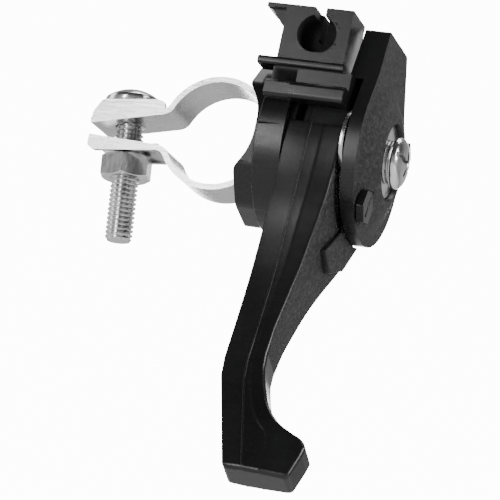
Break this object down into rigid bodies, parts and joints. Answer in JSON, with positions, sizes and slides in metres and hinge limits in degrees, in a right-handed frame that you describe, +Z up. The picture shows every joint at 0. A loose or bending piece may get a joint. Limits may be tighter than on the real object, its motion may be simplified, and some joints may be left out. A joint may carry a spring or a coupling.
{
  "type": "bicycle thumb shifter",
  "caption": "Friction thumb shifter: steel handlebar band clamp, round base with cable stop, long thumb lever on a friction pivot, cover plate and adjusting screw.",
  "frame": {"origin": "centre of the handlebar bore, half-way along the clamp band", "axes": "+Y along the handlebar, +X along the lever's pivot axis away from the bar, +Z up, with the cable stop on top and the lever hanging down"},
  "size_m": [0.0689, 0.0526, 0.0998],
  "materials": {
    "black_plastic": "moulded, semi-gloss",
    "textured_plastic": "moulded, spark-eroded texture",
    "friction_plastic": "plain",
    "zinc_plated_steel": "rolled strip, bright zinc plated",
    "bright_steel": "bright zinc plated",
    "brass_bush": "turned"
  },
  "bodies": {
    "base": {"clamp_band": "zinc_plated_steel", "base_housing": "black_plastic", "cable_stop_bridge": "black_plastic", "pivot_stud": "zinc_plated_steel", "stop_pin": "bright_steel", "inner_washer": "zinc_plated_steel", "inner_friction_disc": "friction_plastic", "outer_friction_disc": "friction_plastic", "pressure_plate": "zinc_plated_steel", "wave_washer": "zinc_plated_steel", "cover_plate": "textured_plastic", "cover_peg": "black_plastic", "cover_peg_upper": "black_plastic", "cover_washer": "bright_steel", "lock_washer": "zinc_plated_steel"},
    "lever": {"lever": "black_plastic", "lever_bush": "brass_bush", "cable_drum": "black_plastic"},
    "screw": {"adjusting_screw": "bright_steel"},
    "bolt": {"clamp_bolt": "bright_steel"},
    "nut": {"clamp_nut": "bright_steel"}
  },
  "joints": [
    {"name": "lever_pivot", "type": "hinge", "parent": "base", "child": "lever", "pos_m": [0.025, 0, 0], "axis": [1, 0, 0], "range_deg": [-20, 90]},
    {"name": "friction_screw", "type": "hinge", "parent": "base", "child": "screw", "pos_m": [0.0388, 0, 0], "axis": [1, 0, 0], "range_deg": [-90, 90]},
    {"name": "clamp_bolt_turn", "type": "hinge", "parent": "base", "child": "bolt", "pos_m": [-0.0219, 0, 0.0048], "axis": [-0.1167, 0, 0.9932], "range_deg": [0, 2161]},
    {"name": "clamp_nut_travel", "type": "slide", "parent": "base", "child": "nut", "axis": [0.1167, 0, -0.9932], "range_m": [0, 0.006]}
  ],
  "couplings": [
    {"joint": "clamp_bolt_turn", "follows": "clamp_nut_travel", "rad_per_m": 6283.2}
  ]
}
